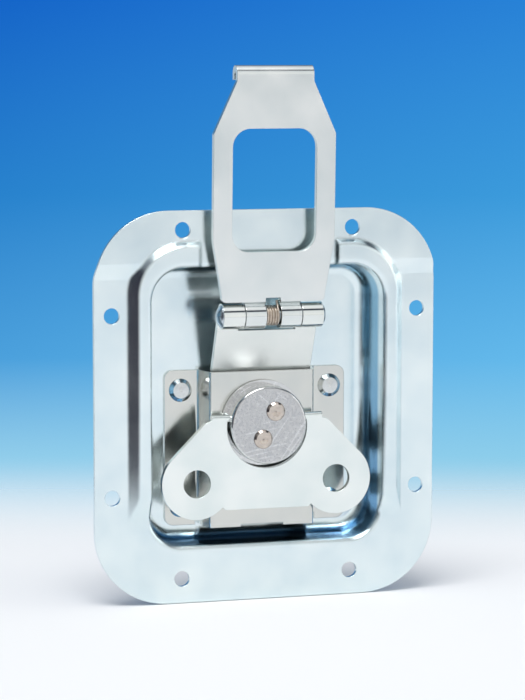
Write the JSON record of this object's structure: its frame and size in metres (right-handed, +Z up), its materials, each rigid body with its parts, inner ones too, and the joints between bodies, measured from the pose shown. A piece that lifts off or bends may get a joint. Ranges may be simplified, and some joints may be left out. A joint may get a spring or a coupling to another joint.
{
  "type": "butterfly case latch",
  "caption": "Recessed butterfly latch for a flight case: a folding wing turns a drum that draws a hinged, windowed hook plate up and down.",
  "frame": {"origin": "centre of the flange's outline, in the plane of the flat back face that seats on the case panel", "axes": "+X to the viewer's right across the latch, +Z up its face towards the hook, +Y into the case; the latch's front faces -Y"},
  "size_m": [0.1142, 0.0264, 0.173],
  "materials": {
    "dish_zinc": "bright plated, glossy",
    "plate_zinc": "bright plated",
    "hasp_zinc": "bright plated",
    "wing_zinc": "bright plated",
    "drum_satin": "satin with light handling marks",
    "rivet_zinc": "satin",
    "spring_copper": "copper-coloured wire",
    "spring_steel": "rolled strip",
    "inner_steel": "rolled sheet"
  },
  "bodies": {
    "base": {"dish": "dish_zinc", "base_plate": "plate_zinc", "base_rivet_1": "rivet_zinc", "base_rivet_2": "rivet_zinc", "base_rivet_3": "rivet_zinc", "base_rivet_4": "rivet_zinc"},
    "drum": {"drum_cap": "drum_satin", "drum_body": "drum_satin", "wing_spring": "spring_steel", "hub_washer": "spring_steel", "cam_plate": "inner_steel", "cam_rivet": "rivet_zinc", "crank_pin": "inner_steel", "hub_rivet_1": "rivet_zinc", "hub_rivet_2": "rivet_zinc"},
    "wing": {"wing": "wing_zinc"},
    "slider": {"slide_link": "plate_zinc", "hinge_pin": "rivet_zinc", "hinge_spring": "spring_copper"},
    "hasp": {"hasp": "hasp_zinc"}
  },
  "joints": [
    {"name": "drum_turn", "type": "hinge", "parent": "base", "child": "drum", "pos_m": [0, 0, -0.0062], "axis": [0, -1, 0], "range_deg": [0, 180]},
    {"name": "slide_travel", "type": "slide", "parent": "base", "child": "slider", "axis": [0, 0, 1], "range_m": [0, 0.009]},
    {"name": "wing_fold", "type": "hinge", "parent": "drum", "child": "wing", "pos_m": [0, -0.0015, -0.004], "axis": [-1, 0, 0], "range_deg": [0, 180]},
    {"name": "hasp_swing", "type": "hinge", "parent": "slider", "child": "hasp", "pos_m": [0, -0.0063, 0.0296], "axis": [1, 0, 0], "range_deg": [-5, 158], "stiffness_Nm_per_rad": 0.02, "springref_deg": -2.8}
  ],
  "couplings": [
    {"joint": "slide_travel", "follows": "drum_turn", "m_per_rad": 0.0028647},
    {"joint": "wing_fold", "follows": "drum_turn", "ratio": 1}
  ]
}
